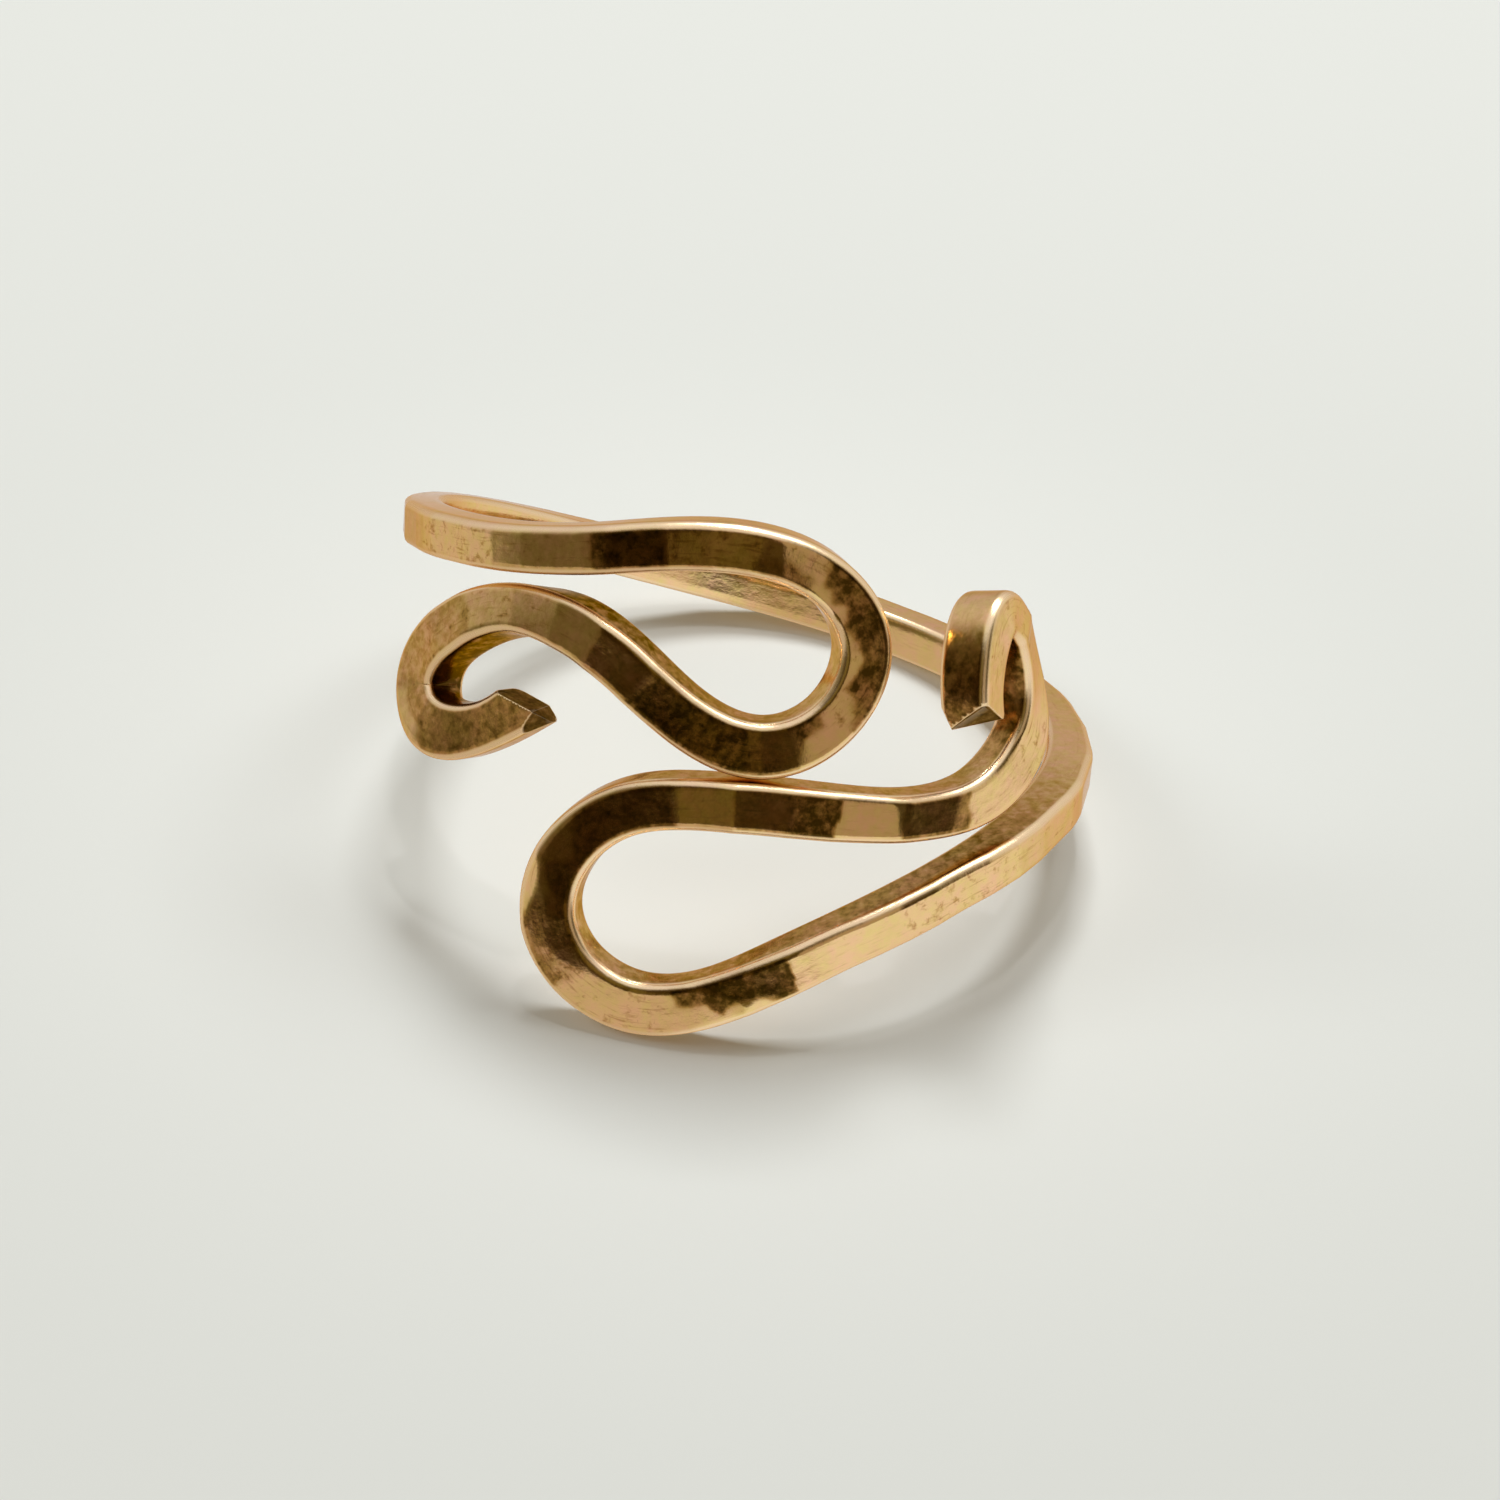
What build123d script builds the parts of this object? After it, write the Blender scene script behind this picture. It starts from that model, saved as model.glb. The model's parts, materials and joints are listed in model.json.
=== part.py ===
from build123d import *
import os
from collections import namedtuple

import numpy as np

# Driving sizes, in millimetres
finger_hole = 17.7       # inside diameter of the ring
wire_thickness = 1.12    # from the finger side of the wire to its outer face
wire_width = 1.4         # across the outer face, where it was not hammered wider
edge_bevel = 0.18        # width of the softened long edges, measured along each face
touch_gap = 0.15         # between the upper loop and the middle bar, which all but touch
upper_reach = 5.4        # from the foot of the upper loop to the top bar, centre to centre
lower_reach = 5.8        # from the middle bar to the foot of the lower loop, centre to centre

outer_radius = finger_hole / 2 + wire_thickness

# How much wider than wire_width the hammer left the two places that all but touch
middle_bar_spread = 1.05
loop_foot_spread = 1.13

# Heights of those two places along the finger, from the line where the loops meet
middle_bar_height = -(touch_gap + middle_bar_spread * wire_width) / 2
loop_foot_height = (touch_gap + loop_foot_spread * wire_width) / 2

# A station says how the wire lies at one place along its length.
# around: degrees round the finger, from the front, positive to the right
# along: height along the finger, as a share of the reach of its half of the ring
# lift: how far the outer face stands off the round, as a share of the outer radius
# turn: degrees that the outer face is turned on from the direction of around
# lean: degrees that the outer face looks up along the finger
# wide and thick: the section, as shares of the wire's width and thickness
Station = namedtuple("Station", "around along lift turn lean wide thick", defaults=(0, 0, 0, 1, 1))

# Shares of lower_reach, counted down from the middle bar
right_curl = [
    Station(35.0, -0.362, 0.116, 28, 0, 0.97, 1.21),
    Station(34.6, -0.570, 0.116, 28, 5, 1.02, 1.25),
    Station(38.3, -0.831, 0.089, 19, 9, 0.94, 1.31),
    Station(48.6, -0.598, 0.014, 23, 3, 0.81, 1.09),
    Station(51.1, -0.140, 0.008, -4, 5, 1.12, 0.92),
    Station(44.8, 0.040, 0, -3, 2, 1.11, 0.99),
]
middle_bar = [
    Station(33.0, 0.105, wide=0.98),
    Station(12.8, 0.038, wide=1.03),
    Station(-8.0, -0.026, wide=middle_bar_spread),
]
lower_loop = [
    Station(-21.0, 0.040, 0.005, 3, wide=1.06),
    Station(-29.0, 0.226, 0.035, 12, wide=1.10, thick=0.96),
    Station(-32.8, 0.540, 0.060, 18, wide=1.19, thick=0.90),
    Station(-29.5, 0.820, 0.045, 13, wide=1.19, thick=0.94),
    Station(-20.5, 0.993, 0.012, 4, wide=1.16),
    Station(-10.5, 0.984, wide=1.10),
]
lower_bar = [
    Station(5.2, 0.800, lean=-5, wide=1.04),
    Station(30.3, 0.534, lean=-8, wide=1.03),
]
right_shank = [
    Station(60.0, 0.362, 0.006, 0, -3, 0.95, 1.24),
    Station(100.0, 0.235, 0, 0, -5, 0.96, 1.08),
    Station(150.0, 0.019, lean=4),
]

# Shares of upper_reach, counted up from the foot of the upper loop
left_shank = [
    Station(200.0, 0.077, lean=8),
    Station(250.0, 0.595, -0.006, lean=5, wide=0.92),
]
top_bar = [
    Station(300.0, 0.855, lean=4, wide=0.92),
    Station(333.0, 0.957, lean=4, wide=0.94),
    Station(360.0, 1.006, lean=2, wide=0.96),
]
upper_loop = [
    Station(372.7, 0.830, wide=0.97),
    Station(378.3, 0.493, wide=1.05),
    Station(373.1, 0.138, wide=1.06),
    Station(362.0, 0.0, wide=loop_foot_spread),
]
diagonal = [
    Station(348.6, 0.175, wide=1.09),
    Station(333.9, 0.522, 0.004, 0, 3, 1.12),
]
left_curl = [
    Station(318.8, 0.571, -0.013, -6, 19, 0.97, 1.16),
    Station(305.3, 0.413, 0.027, 0, 13, 1.08, 1.19),
    Station(296.1, 0.022, 0.071, 19, 6, 1.13, 1.20),
    Station(299.0, -0.090, 0.077, 17, 10, 1.23, 1.12),
    Station(311.2, -0.074, 0.029, 2, 4, 1.02, 1.04),
    Station(323.6, 0.171, 0.011, -1, 5, 1.15, 0.99),
]

# A nip is one flat of a cut end, given by three points of it. Each point is
# back: how far before the end of the wire, as a share of the wire's width
# up: from the middle of the section towards the outer face, as a share of the thickness
# across: from the middle towards the rim of the curl, as a share of the width
NipPoint = namedtuple("NipPoint", "back up across")
right_end_nips = [
    [NipPoint(0.64, 0.5, 0.5), NipPoint(0.05, 0.5, -0.21), NipPoint(0.15, -0.15, 0.5)],
    [NipPoint(0.62, -0.5, 0.5), NipPoint(0.02, -0.26, 0.5), NipPoint(0.0, -0.5, 0.1)],
]
left_end_nips = [
    [NipPoint(0.69, 0.5, -0.42), NipPoint(0.02, 0.5, 0.25), NipPoint(0.99, -0.5, -0.55)],
    [NipPoint(0.98, 0.5, 0.5), NipPoint(0.02, 0.5, 0.25), NipPoint(0.3, -0.07, 0.5)],
    [NipPoint(0.02, 0.5, 0.25), NipPoint(0.24, -0.5, 0.5), NipPoint(0.3, -0.5, 0.1)],
]

# The stretch of wire at each end that the nips may reach, as a share of the wire's width
stub_length = 2.0

# Room left round that stretch, as a share of the section, and past the end, of the width
stub_room = 1.3
stub_overshoot = 0.05

# Size of the block that takes away what lies beyond a flat, as a share of the wire's width
nip_block = 8.0

# Points worked out between two stations when the wire is drawn
steps_per_station = 5

# Places nearer than this to a foot, in millimetres, count as the foot itself
same_place = 1e-6
facet_depth = 0.01  # how far the facets that weigh the ring may stand off its surface


def natural_spline(knots, values, places):
    """Smooth curve through the values at the knots, with straight ends, read at the places."""
    count = len(knots)
    gap = np.diff(knots)
    system = np.eye(count)
    right_side = np.zeros(count)
    for i in range(1, count - 1):
        system[i, i - 1:i + 2] = gap[i - 1], 2 * (gap[i - 1] + gap[i]), gap[i]
        slope_after = (values[i + 1] - values[i]) / gap[i]
        slope_before = (values[i] - values[i - 1]) / gap[i - 1]
        right_side[i] = 6 * (slope_after - slope_before)
    bend = np.linalg.solve(system, right_side)
    i = np.clip(np.searchsorted(knots, places) - 1, 0, count - 2)
    before = places - knots[i]
    after = knots[i + 1] - places
    curve = (bend[i] * after**3 + bend[i + 1] * before**3) / (6 * gap[i])
    curve += (values[i] / gap[i] - bend[i] * gap[i] / 6) * after
    curve += (values[i + 1] / gap[i] - bend[i + 1] * gap[i] / 6) * before
    return curve


def unit(vectors):
    """The same vectors, each one millimetre long."""
    return vectors / np.linalg.norm(vectors, axis=1)[:, None]


def wire_stations():
    """Every station in turn, as a table of millimetres and degrees."""
    lower = right_curl + middle_bar + lower_loop + lower_bar + right_shank
    upper = left_shank + top_bar + upper_loop + diagonal + left_curl
    rows = []
    for stations, start, reach in (
        (lower, middle_bar_height, -lower_reach),
        (upper, loop_foot_height, upper_reach),
    ):
        for s in stations:
            height = start + s.along * reach
            width = s.wide * wire_width
            thickness = s.thick * wire_thickness
            rows.append((s.around, height, s.lift * outer_radius, s.turn, s.lean, width, thickness))
    return np.array(rows, float)


def draw_wire():
    """Places along the wire's middle, and there its axes and the half sizes of its section."""
    rows = wire_stations()
    flat_path = np.stack([np.radians(rows[:, 0]) * outer_radius, rows[:, 1]], axis=1)
    lengths = np.linalg.norm(np.diff(flat_path, axis=0), axis=1)
    knots = np.concatenate([[0], np.cumsum(lengths)])
    places = np.linspace(0, knots[-1], steps_per_station * (len(rows) - 1) + 1)
    around, height, lift, turn, lean, width, thickness = (
        natural_spline(knots, column, places) for column in rows.T
    )
    angle = np.radians(around)
    radius = outer_radius + lift - thickness / 2
    middle = np.stack([radius * np.sin(angle), -radius * np.cos(angle), height], axis=1)
    forward = unit(np.gradient(middle, axis=0))
    facing = np.radians(around + turn)
    tip_up = np.radians(lean)
    outward = np.stack(
        [np.sin(facing) * np.cos(tip_up), -np.cos(facing) * np.cos(tip_up), np.sin(tip_up)], axis=1
    )
    outward = unit(outward - np.sum(outward * forward, axis=1)[:, None] * forward)
    sideways = np.cross(forward, outward)
    return middle, forward, outward, sideways, thickness / 2, width / 2


def long_edges():
    """The eight lines that run along the wire, where its flats meet its softened edges."""
    middle, forward, outward, sideways, half_thick, half_wide = draw_wire()
    lines = []
    for up, across, bevel_up, bevel_across in (
        (1, 1, 0, 1), (1, 1, 1, 0), (-1, 1, 1, 0), (-1, 1, 0, 1),
        (-1, -1, 0, 1), (-1, -1, 1, 0), (1, -1, 1, 0), (1, -1, 0, 1),
    ):
        rise = up * (half_thick - bevel_up * edge_bevel)
        reach = across * (half_wide - bevel_across * edge_bevel)
        lines.append(middle + outward * rise[:, None] + sideways * reach[:, None])
    return lines


def plain_wire():
    """The bent wire with square ends: eight strips between its long edges, and two caps."""
    lines = long_edges()
    counts = [float(i) for i in range(len(lines[0]))]
    edges = []
    for line in lines:
        points = [Vector(*point) for point in line]
        edges.append(Edge.make_spline(points, parameters=counts))
    faces = [Face.make_surface_from_curves(a, b) for a, b in zip(edges, edges[1:] + edges[:1])]
    for end in (0, -1):
        corners = [Vector(*line[end]) for line in lines]
        faces.append(Face(Wire.make_polygon(corners, close=True)))
    return Solid(Shell(faces))


def nip(solid, end, rim_side, points):
    """Cuts one flat off an end of the wire, taking away what lies beyond the flat."""
    middle, forward, outward, sideways, half_thick, half_wide = (table[end] for table in draw_wire())
    onward = forward if end == -1 else -forward
    rim = rim_side * sideways
    corners = []
    for point in points:
        corner = middle - onward * point.back * wire_width
        corner = corner + outward * point.up * 2 * half_thick
        corners.append(corner + rim * point.across * 2 * half_wide)
    away = np.cross(corners[1] - corners[0], corners[2] - corners[0])
    if away @ onward < 0:
        away = -away
    length = stub_length * wire_width
    just_ahead = middle + onward * stub_overshoot * wire_width
    stub = Plane(origin=Vector(*just_ahead), x_dir=Vector(*rim), z_dir=Vector(*-onward)) * Box(
        2 * half_wide * stub_room, 2 * half_thick * stub_room, length,
        align=(Align.CENTER, Align.CENTER, Align.MIN),
    )
    block = nip_block * wire_width
    beyond = Plane(origin=Vector(*corners[0]), z_dir=Vector(*away)) * Box(
        block, block, block, align=(Align.CENTER, Align.CENTER, Align.MIN)
    )
    return solid - (stub & beyond)


def balance_point(solid):
    """The middle of the ring's weight, summed over the slim wedges from the origin to its facets."""
    corners, facets = solid.tessellate(facet_depth)
    corners = np.array([tuple(corner) for corner in corners])
    first, second, third = (corners[list(column)] for column in zip(*facets))
    volumes = np.einsum("ij,ij->i", first, np.cross(second, third))
    return volumes @ (first + second + third) / 4 / volumes.sum()


def bears(foot, first, second, balance):
    """Whether the weight lies on the same side of the line between two feet as the third foot."""
    line = second - first
    across = foot - first
    across = across - line * (across @ line) / (line @ line)
    return (balance - first) @ across >= 0


def resting_turn(points, balance):
    """The turn that sets the ring down, tipped from foot to foot until its weight is over three."""
    upward = np.array([0.0, 0.0, 1.0])
    feet = [points[np.argmin(points @ upward)]]
    while len(feet) < 3:
        fall = balance - feet[0]
        fall = fall - (fall @ upward) * upward
        if len(feet) == 2:
            hinge = feet[1] - feet[0]
            fall = fall - hinge * (fall @ hinge) / (hinge @ hinge)
        fall = fall / np.linalg.norm(fall)
        ahead = points[(points - feet[0]) @ fall > same_place]
        tips = np.arctan2((ahead - feet[0]) @ upward, (ahead - feet[0]) @ fall)
        feet.append(ahead[np.argmin(tips)])
        upward = np.cos(tips.min()) * upward - np.sin(tips.min()) * fall
        if len(feet) == 3:
            a, b, c = feet
            corners = ((a, b, c), (b, c, a), (c, a, b))
            feet = [foot for foot, first, second in corners if bears(foot, first, second, balance)]
    front = np.array([0.0, -1.0, 0.0])
    side = np.cross(upward, front)
    return Plane(origin=Vector(0, 0, 0), x_dir=Vector(*side), z_dir=Vector(*upward))


def ring_wire():
    """The whole ring, lying as it comes to rest, over the origin."""
    solid = plain_wire()
    for points in right_end_nips:
        solid = nip(solid, 0, -1, points)
    for points in left_end_nips:
        solid = nip(solid, -1, 1, points)
    balance = balance_point(solid)
    resting = resting_turn(np.concatenate(long_edges()), balance)
    solid = resting.to_local_coords(solid)
    box = solid.bounding_box()
    return Pos(-box.center().X, -box.center().Y, -box.min.Z) * solid


os.makedirs("parts", exist_ok=True)
export_step(ring_wire(), "parts/ring_wire.step")
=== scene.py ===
import json
import math
from collections import namedtuple

import bmesh
import bpy
import numpy as np
from mathutils import Matrix, Vector, noise


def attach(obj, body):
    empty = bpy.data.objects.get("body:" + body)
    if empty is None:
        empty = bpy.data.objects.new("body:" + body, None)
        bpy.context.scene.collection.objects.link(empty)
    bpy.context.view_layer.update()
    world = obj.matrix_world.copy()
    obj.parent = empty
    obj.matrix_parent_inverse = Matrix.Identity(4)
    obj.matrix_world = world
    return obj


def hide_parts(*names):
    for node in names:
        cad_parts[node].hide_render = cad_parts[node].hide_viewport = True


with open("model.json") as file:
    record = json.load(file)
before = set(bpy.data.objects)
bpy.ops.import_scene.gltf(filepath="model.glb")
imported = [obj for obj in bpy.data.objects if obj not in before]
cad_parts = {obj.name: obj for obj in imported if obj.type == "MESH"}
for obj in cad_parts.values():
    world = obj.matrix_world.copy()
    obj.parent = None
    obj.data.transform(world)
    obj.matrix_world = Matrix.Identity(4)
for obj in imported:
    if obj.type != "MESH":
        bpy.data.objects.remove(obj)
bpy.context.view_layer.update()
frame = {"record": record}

MM = 0.001

# Sizes of the wire and the ring, in millimetres, as in the solid
finger_hole = 17.7
wire_thickness = 1.12
wire_width = 1.4
touch_gap = 0.15
upper_reach = 5.4
lower_reach = 5.8
outer_radius = finger_hole / 2 + wire_thickness
middle_bar_spread = 1.05
loop_foot_spread = 1.13
middle_bar_height = -(touch_gap + middle_bar_spread * wire_width) / 2
loop_foot_height = (touch_gap + loop_foot_spread * wire_width) / 2

# The radius of the wire's softened edges, in millimetres, where the solid has flat bevels
edge_round = 0.24

# How finely the skin is drawn along the wire
rings_per_mm = 12

# A station says how the wire lies at one place along its length.
# around: degrees round the finger, from the front, positive to the right
# along: height along the finger, as a share of the reach of its half of the ring
# lift: how far the outer face stands off the round, as a share of the outer radius
# turn: degrees that the outer face is turned on from the direction of around
# lean: degrees that the outer face looks up along the finger
# wide and thick: the section, as shares of the wire's width and thickness
Station = namedtuple("Station", "around along lift turn lean wide thick", defaults=(0, 0, 0, 1, 1))

# Shares of lower_reach, counted down from the middle bar
right_curl = [
    Station(35.0, -0.362, 0.116, 28, 0, 0.97, 1.21),
    Station(34.6, -0.570, 0.116, 28, 5, 1.02, 1.25),
    Station(38.3, -0.831, 0.089, 19, 9, 0.94, 1.31),
    Station(48.6, -0.598, 0.014, 23, 3, 0.81, 1.09),
    Station(51.1, -0.140, 0.008, -4, 5, 1.12, 0.92),
    Station(44.8, 0.040, 0, -3, 2, 1.11, 0.99),
]
middle_bar = [
    Station(33.0, 0.105, wide=0.98),
    Station(12.8, 0.038, wide=1.03),
    Station(-8.0, -0.026, wide=middle_bar_spread),
]
lower_loop = [
    Station(-21.0, 0.040, 0.005, 3, wide=1.06),
    Station(-29.0, 0.226, 0.035, 12, wide=1.10, thick=0.96),
    Station(-32.8, 0.540, 0.060, 18, wide=1.19, thick=0.90),
    Station(-29.5, 0.820, 0.045, 13, wide=1.19, thick=0.94),
    Station(-20.5, 0.993, 0.012, 4, wide=1.16),
    Station(-10.5, 0.984, wide=1.10),
]
lower_bar = [
    Station(5.2, 0.800, lean=-5, wide=1.04),
    Station(30.3, 0.534, lean=-8, wide=1.03),
]
right_shank = [
    Station(60.0, 0.362, 0.006, 0, -3, 0.95, 1.24),
    Station(100.0, 0.235, 0, 0, -5, 0.96, 1.08),
    Station(150.0, 0.019, lean=4),
]

# Shares of upper_reach, counted up from the foot of the upper loop
left_shank = [
    Station(200.0, 0.077, lean=8),
    Station(250.0, 0.595, -0.006, lean=5, wide=0.92),
]
top_bar = [
    Station(300.0, 0.855, lean=4, wide=0.92),
    Station(333.0, 0.957, lean=4, wide=0.94),
    Station(360.0, 1.006, lean=2, wide=0.96),
]
upper_loop = [
    Station(372.7, 0.830, wide=0.97),
    Station(378.3, 0.493, wide=1.05),
    Station(373.1, 0.138, wide=1.06),
    Station(362.0, 0.0, wide=loop_foot_spread),
]
diagonal = [
    Station(348.6, 0.175, wide=1.09),
    Station(333.9, 0.522, 0.004, 0, 3, 1.12),
]
left_curl = [
    Station(318.8, 0.571, -0.013, -6, 19, 0.97, 1.16),
    Station(305.3, 0.413, 0.027, 0, 13, 1.08, 1.19),
    Station(296.1, 0.022, 0.071, 19, 6, 1.13, 1.20),
    Station(299.0, -0.090, 0.077, 17, 10, 1.23, 1.12),
    Station(311.2, -0.074, 0.029, 2, 4, 1.02, 1.04),
    Station(323.6, 0.171, 0.011, -1, 5, 1.15, 0.99),
]

# A nip is one flat of a cut end, given by three points of it. Each point is
# back: how far before the end of the wire, as a share of the wire's width
# up: from the middle of the section towards the outer face, as a share of the thickness
# across: from the middle towards the rim of the curl, as a share of the width
NipPoint = namedtuple("NipPoint", "back up across")
right_end_nips = [
    [NipPoint(0.64, 0.5, 0.5), NipPoint(0.05, 0.5, -0.21), NipPoint(0.15, -0.15, 0.5)],
    [NipPoint(0.62, -0.5, 0.5), NipPoint(0.02, -0.26, 0.5), NipPoint(0.0, -0.5, 0.1)],
]
left_end_nips = [
    [NipPoint(0.69, 0.5, -0.42), NipPoint(0.02, 0.5, 0.25), NipPoint(0.99, -0.5, -0.55)],
    [NipPoint(0.98, 0.5, 0.5), NipPoint(0.02, 0.5, 0.25), NipPoint(0.3, -0.07, 0.5)],
    [NipPoint(0.02, 0.5, 0.25), NipPoint(0.24, -0.5, 0.5), NipPoint(0.3, -0.5, 0.1)],
]
stub_length = 2.0   # how much of an end a nip can cut, as a share of the wire's width
nip_rim = 0.05      # the softened rim of a nip, in millimetres
same_place = 1e-5   # a point of the skin this near a nip counts as on it, in millimetres

# A flat is one mark that the hammer left on the outer face, or a place where it missed and the face
# stayed dull. Its dark is painted into the colour: partly brown film left on it, partly painted dark
# reflections of the room.
# place: where along the wire, counted in stations
# across: off the middle, as a share of the half width, positive to the left of the way that the wire runs
# swing and tip: degrees that it is turned, onward along the wire, and across it to that same side
# tarnish: how much brown film is left on it, from 0 to 1
# speckle: how thickly it is strewn with small dull spots, from 0 to 1
# deep: millimetres that it was struck in
# runs_out: how fast it rises again before and after its place, per millimetre, so that it ends in a point
Flat = namedtuple("Flat", "place across swing tip tarnish speckle deep runs_out", defaults=(0,) * 7)
right_curl_flats = [
    Flat(0.5, tarnish=0.05, speckle=0.3),
    Flat(1.5, 0, 0, 1, tarnish=0.1, speckle=0.6),
    Flat(2.3, tarnish=0.05, speckle=0.6),
    Flat(3.4, 0, 0, -1, tarnish=0.05, speckle=0.3),
    Flat(4.3, tarnish=0.05, speckle=0.7),
    Flat(5.2, speckle=0.3),
]
middle_bar_flats = [
    Flat(6.1, 0, 0, 2, tarnish=0.6, speckle=0.3),
    Flat(6.75, 0, 1, tarnish=0.05, speckle=0.2),
    Flat(7.17, tarnish=0.95, speckle=0.3),
    Flat(7.48, 0.1, -1, tarnish=0.45, speckle=0.7),
    Flat(7.98, 0, 1, tarnish=0.1, speckle=0.4),
    Flat(8.6, tarnish=0.7, speckle=0.5),
    Flat(9.2, -0.1, 1, 1, tarnish=0.6, speckle=0.6),
]
lower_loop_flats = [
    Flat(9.75, -0.4, tarnish=0.7, speckle=0.5),
    Flat(10.05, 0.4, 0, 8, tarnish=0.2, speckle=0.6),
    Flat(10.4, -0.5, tarnish=0.7, speckle=0.5),
    Flat(10.75, 0.6, 0, 33, speckle=0.4, deep=0.12, runs_out=0.25),
    Flat(11.05, 0.1, 0, 7, tarnish=0.4, speckle=1.0),
    Flat(11.5, -0.5, 1, -1, tarnish=0.6, speckle=0.8),
    Flat(11.6, 0.5, 0, 7, tarnish=0.4, speckle=1.0),
    Flat(12.4, 0.1, 0, 2, speckle=0.6),
    Flat(12.6, -0.6, 0, 3, speckle=0.4),
    Flat(13.3, 0.3, 0, 4.5, speckle=0.8),
    Flat(13.55, -0.7, 0, 5.5, speckle=0.4),
    Flat(14.05, 0.45, 0, 5, speckle=0.2),
    Flat(14.55, 0.95, 0, 5, speckle=0.2),
    Flat(14.4, -0.4, 0, -1, tarnish=0.9, speckle=0.3),
]
lower_bar_flats = [
    Flat(15.35, 0.1, 0, 1, speckle=0.3),
    Flat(16.2, 0, 0, 0.5, speckle=0.8),
    Flat(17.0, tarnish=0.05, speckle=0.5),
]
top_bar_flats = [
    Flat(22.15, tarnish=0.05, speckle=0.9),
    Flat(22.86, 0, 0, -1, tarnish=0.2, speckle=0.4),
    Flat(23.38, 0, 1, tarnish=0.75, speckle=0.5),
    Flat(23.68, tarnish=0.25, speckle=0.8),
    Flat(24.0, 0, -2, tarnish=0.25, speckle=0.7),
]
upper_loop_flats = [
    Flat(24.3, 0.7, -1, 1, tarnish=0.45, speckle=0.6),
    Flat(24.45, -0.8, 3, tarnish=0.05, speckle=0.6),
    Flat(24.6, 0.75, 0, 1, tarnish=0.4, speckle=0.6),
    Flat(24.72, -0.25, 1.5, tarnish=0.05, speckle=0.6),
    Flat(25.3, 0.8, speckle=0.3),
    Flat(25.75, 0.8, tarnish=0.1, speckle=0.3),
    Flat(25.35, -0.7, 0, -5, tarnish=0.6, speckle=0.15),
    Flat(25.5, 0.1, 0, -4, tarnish=1.0, speckle=0.15),
    Flat(26.05, -0.6, 0, -4, tarnish=0.6, speckle=0.3),
    Flat(26.2, 0.7, speckle=0.5),
    Flat(26.45, -0.6, 0, -3, tarnish=0.6, speckle=1.0),
    Flat(26.9, 0.1, 1, tarnish=0.05, speckle=0.8),
    Flat(27.2, -0.4, tarnish=0.05, speckle=0.4),
    Flat(27.8, 0.3, tarnish=0.5, speckle=0.6),
]
diagonal_flats = [
    Flat(28.2, -0.3, tarnish=0.6, speckle=1.0),
    Flat(28.65, 0.2, 1, tarnish=0.75, speckle=0.8),
    Flat(29.1, -0.2, tarnish=0.8, speckle=1.0),
    Flat(29.6, tarnish=0.4, speckle=0.5),
    Flat(30.15, tarnish=0.2, speckle=0.3),
    Flat(30.65, tarnish=0.25, speckle=0.5),
]
left_curl_flats = [
    Flat(31.3, tarnish=0.2, speckle=0.7),
    Flat(32.0, tarnish=0.35, speckle=0.6),
    Flat(32.8, tarnish=0.35, speckle=0.3),
    Flat(33.7, 0.7, 0, 6, tarnish=0.15, speckle=0.4),
    Flat(33.8, -0.4, tarnish=0.4, speckle=0.3),
    Flat(34.4, 0, 1, tarnish=0.5, speckle=0.4),
    Flat(35.0, 0, -1, tarnish=0.55, speckle=0.2),
    Flat(35.6, 0, 1, tarnish=0.55, speckle=0.2),
]
placed_flats = (
    right_curl_flats + middle_bar_flats + lower_loop_flats + lower_bar_flats
    + top_bar_flats + upper_loop_flats + diagonal_flats + left_curl_flats
)

# Painted dark that lies across the flats, without a shape of its own: partly brown film, partly painted
# dark reflection
film_and_reflection_patches = [
    Flat(24.95, -0.7, tarnish=1.0, speckle=0.4),
    Flat(25.1, -0.1, tarnish=1.0, speckle=0.4),
    Flat(25.0, 0.6, speckle=0.5),
    Flat(25.75, 0.15, tarnish=1.0, speckle=0.3),
    Flat(25.8, 0.85, speckle=0.3),
    Flat(26.3, -0.15, tarnish=0.9, speckle=0.8),
    Flat(26.65, -0.65, tarnish=0.5, speckle=1.0),
    Flat(27.3, 0.9, tarnish=0.8, speckle=0.6),
    Flat(11.85, -0.2, tarnish=0.2, speckle=1.0),
    Flat(14.65, -0.3, tarnish=0.9, speckle=0.4),
    Flat(14.1, -0.6, tarnish=0.8, speckle=0.2),
]

# The back of the ring has flats too, strewn by chance between two stations
back_from_station = 17.4
back_to_station = 21.8
back_flat_length = 2.1  # from each one to the next, in millimetres
back_flat_stray = 0.4   # the most that one lies before or after that, in millimetres
back_flat_aside = 0.4   # the most that one lies off the middle, as a share of the half width
back_flat_turn = 0.7    # how far one is turned as a rule, in degrees
back_film = 0.3         # the most film that is left on one
back_spots = 0.6        # the thickest that spots are strewn on one
back_seed = 11

# What all flats share
flat_half_length = 0.9  # how far from its middle a flat takes out the wire's own bend, in millimetres
flat_dish = 0.008       # how hollow a flat is, per millimetre
flat_blend = 0.002      # how softly one flat meets the next, in millimetres
flat_reach = 1.8        # how far from its middle a flat holds fully, in millimetres
flat_release = 0.25     # how fast it lets go of the wire beyond that, per millimetre
film_and_reflection_blend = 0.07       # how softly the film and painted dark reflection of one flat meet the next, in square millimetres
film_and_reflection_cutoff = 600       # at this many times the blend above a flat's film and painted reflection count no further, so no sum is zero
film_and_reflection_ragged = 0.16      # how far that border strays, in millimetres
film_and_reflection_ragged_per_mm = 2.4
film_and_reflection_seed = 1           # which way it strays where
crown_drop = 0.03       # how far the outer face falls away at its edges, in millimetres
crown_power = 8
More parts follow.
